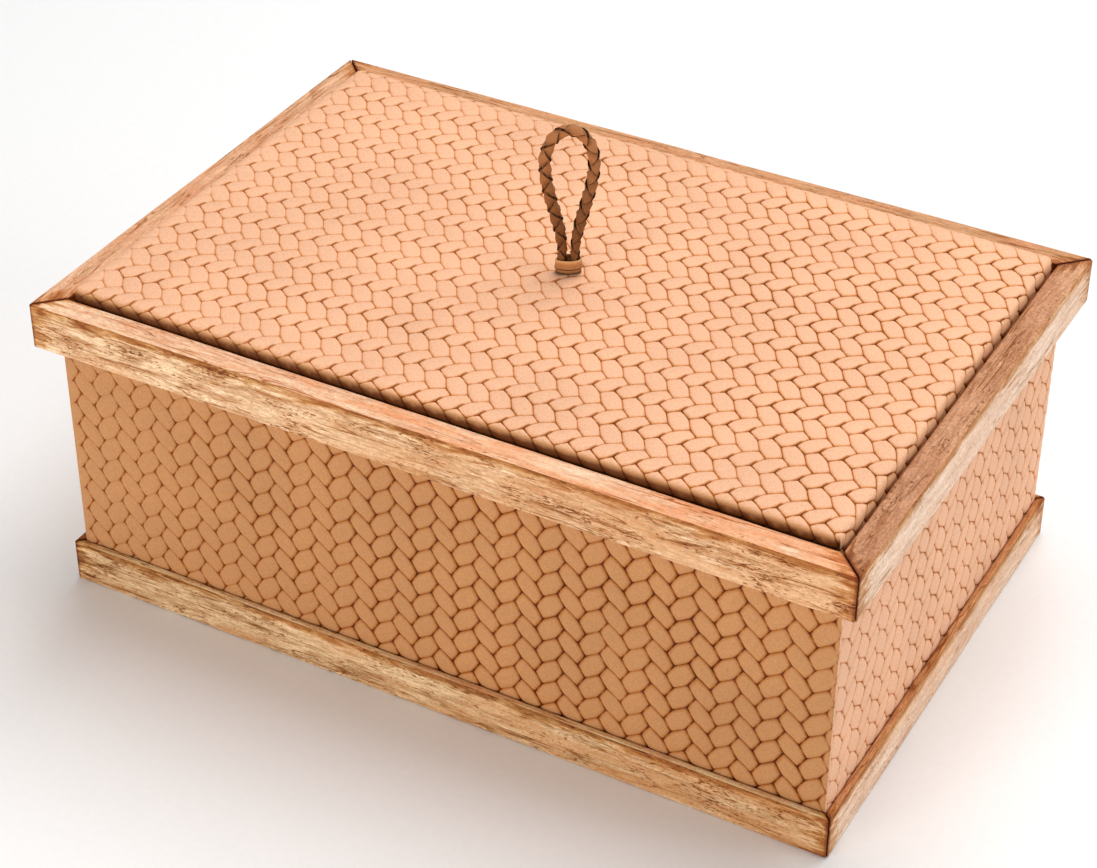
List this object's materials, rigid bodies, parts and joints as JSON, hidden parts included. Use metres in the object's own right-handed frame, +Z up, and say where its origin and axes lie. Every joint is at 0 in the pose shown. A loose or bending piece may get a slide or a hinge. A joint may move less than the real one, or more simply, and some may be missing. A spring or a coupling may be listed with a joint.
{
  "type": "stationery box",
  "caption": "Rectangular stationery box in braid-embossed leather with a mitred wooden rim and plinth, a padded drop-in lid and a braided pull loop.",
  "frame": {"origin": "centre of the footprint, on the surface that the plinth stands on", "axes": "+X along the long side to the right, +Y to the back, +Z up"},
  "size_m": [0.32, 0.214, 0.189],
  "materials": {
    "board": "raw medium-density board",
    "dowel": "plain beech",
    "embossed_hide": "natural tan, embossed braid, satin",
    "frame_wood": "oiled, worn edges",
    "lining_suede": "short-napped suede cloth",
    "baize": "brown felt",
    "foam": "open-cell upholstery foam",
    "washer_brass": "stamped sheet",
    "braided_cord": "four-strand flat lace braid, waxed",
    "collar_hide": "wrapped strip, waxed"
  },
  "bodies": {
    "box": {"wall_front": "board", "wall_right": "board", "wall_back": "board", "wall_left": "board", "corner_dowels": "dowel", "floor_board": "board", "body_hide": "embossed_hide", "plinth_front": "frame_wood", "plinth_right": "frame_wood", "plinth_back": "frame_wood", "plinth_left": "frame_wood", "rim_front": "frame_wood", "rim_right": "frame_wood", "rim_back": "frame_wood", "rim_left": "frame_wood", "lining_front": "lining_suede", "lining_right": "lining_suede", "lining_back": "lining_suede", "lining_left": "lining_suede", "floor_lining": "lining_suede", "base_baize": "baize"},
    "lid": {"lid_board": "board", "lid_padding": "foam", "lid_hide": "embossed_hide", "lid_card": "lining_suede", "loop_washer": "washer_brass", "loop_tails": "braided_cord", "loop_collar": "collar_hide"},
    "loop": {"pull_loop": "braided_cord"}
  },
  "joints": [
    {"name": "lid_lift", "type": "slide", "parent": "box", "child": "lid", "axis": [0, 0, 1], "range_m": [0, 0.15]},
    {"name": "loop_tilt", "type": "hinge", "parent": "lid", "child": "loop", "pos_m": [0, 0, 0.13715], "axis": [0.866, 0.5, 0], "range_deg": [-75, 75], "stiffness_Nm_per_rad": 0.01}
  ]
}
